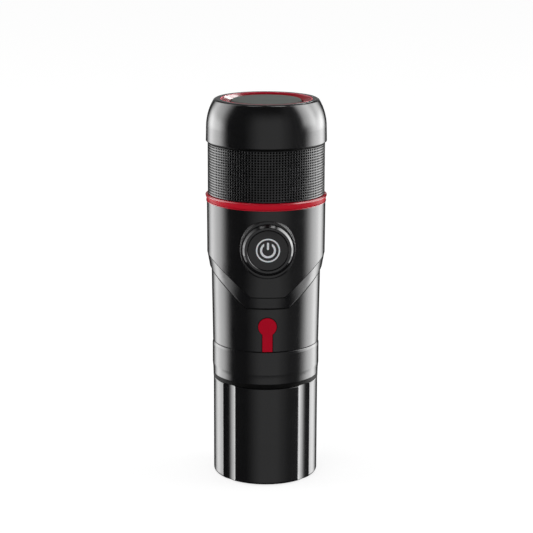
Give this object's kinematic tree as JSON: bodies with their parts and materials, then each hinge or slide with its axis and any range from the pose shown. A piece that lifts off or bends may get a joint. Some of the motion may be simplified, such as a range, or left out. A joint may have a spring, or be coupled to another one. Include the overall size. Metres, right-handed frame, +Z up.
{
  "type": "portable coffee maker",
  "caption": "Upright battery coffee maker: fluted cup, brew head with coffee basket, heated pump unit with a power button and a red port flap, knurled water tank and domed lid.",
  "frame": {"origin": "middle of the foot, on the surface that the cup stands on", "axes": "+Z up along the body's axis, the power button and the port flap face -Y, +X to the right seen from the front"},
  "size_m": [0.0706, 0.0718, 0.2245],
  "materials": {
    "black_gloss": "semi-gloss",
    "black_matte": "fine matt",
    "dark_grey": "satin",
    "red_gloss": "gloss",
    "red_rubber": "satin",
    "black_rubber": "matt",
    "silicone": "satin",
    "white_light": "satin",
    "smoke_clear": "polished",
    "steel": "brushed",
    "aluminium": "machined",
    "cell_sleeve": "satin sleeve",
    "board_green": "solder mask"
  },
  "bodies": {
    "cup": {"cup": "black_gloss", "cup_base_pad": "black_rubber"},
    "brew_head": {"brew_collar": "black_gloss", "cup_seal_ring": "black_rubber", "spout_nozzle": "steel"},
    "coffee_basket": {"coffee_basket": "black_matte", "basket_screen": "steel"},
    "main_unit": {"lower_housing": "black_gloss", "upper_housing": "black_gloss", "button_bezel": "black_gloss", "flap_anchor": "red_rubber", "charge_socket": "black_matte", "charge_board": "board_green", "button_switch": "black_matte", "control_board": "board_green", "brew_neck": "black_matte", "brew_gasket": "silicone", "shower_screen": "steel", "base_screws": "steel", "heater": "aluminium", "temperature_sensor": "steel", "inner_frame": "black_matte", "battery_cell_1": "cell_sleeve", "battery_cell_2": "cell_sleeve", "battery_cell_3": "cell_sleeve", "pump_head": "black_matte", "pump_motor": "steel", "inlet_hose": "silicone", "outlet_hose": "silicone", "tank_deck": "black_matte", "deck_screws": "steel", "accent_ring": "red_gloss"},
    "power_button": {"power_button": "black_gloss", "power_symbol": "white_light", "switch_plunger": "black_matte"},
    "port_flap": {"port_flap": "red_rubber"},
    "crank_shaft": {"crank_shaft": "steel"},
    "water_tank": {"water_tank": "smoke_clear", "tank_grip_band": "black_matte", "tank_seal": "silicone", "tank_valve": "silicone"},
    "lid": {"lid_shell": "black_gloss", "lid_accent_ring": "red_gloss", "lid_disc": "dark_grey", "lid_liner": "black_matte", "lid_gasket": "silicone", "vent_plug": "silicone"}
  },
  "joints": [
    {"name": "cup_lift", "type": "slide", "parent": "cup", "child": "brew_head", "axis": [0, 0, 1], "range_m": [0, 0.04]},
    {"name": "basket_lift", "type": "slide", "parent": "brew_head", "child": "coffee_basket", "axis": [0, 0, 1], "range_m": [0, 0.04]},
    {"name": "unit_lift", "type": "slide", "parent": "coffee_basket", "child": "main_unit", "axis": [0, 0, 1], "range_m": [0, 0.03]},
    {"name": "tank_lift", "type": "slide", "parent": "main_unit", "child": "water_tank", "axis": [0, 0, 1], "range_m": [0, 0.03]},
    {"name": "lid_lift", "type": "slide", "parent": "water_tank", "child": "lid", "axis": [0, 0, 1], "range_m": [0, 0.03]},
    {"name": "button_press", "type": "slide", "parent": "main_unit", "child": "power_button", "axis": [0, 1, 0], "range_m": [0, 0.0008], "stiffness_N_per_m": 1800, "springref_m": -0.0002},
    {"name": "flap_swing", "type": "hinge", "parent": "main_unit", "child": "port_flap", "pos_m": [0, -0.03099, 0.0824], "axis": [1, 0, 0], "range_deg": [0, 95]},
    {"name": "crank_spin", "type": "hinge", "parent": "main_unit", "child": "crank_shaft", "pos_m": [0, 0, 0.12], "axis": [0, 0, 1], "continuous": true}
  ]
}
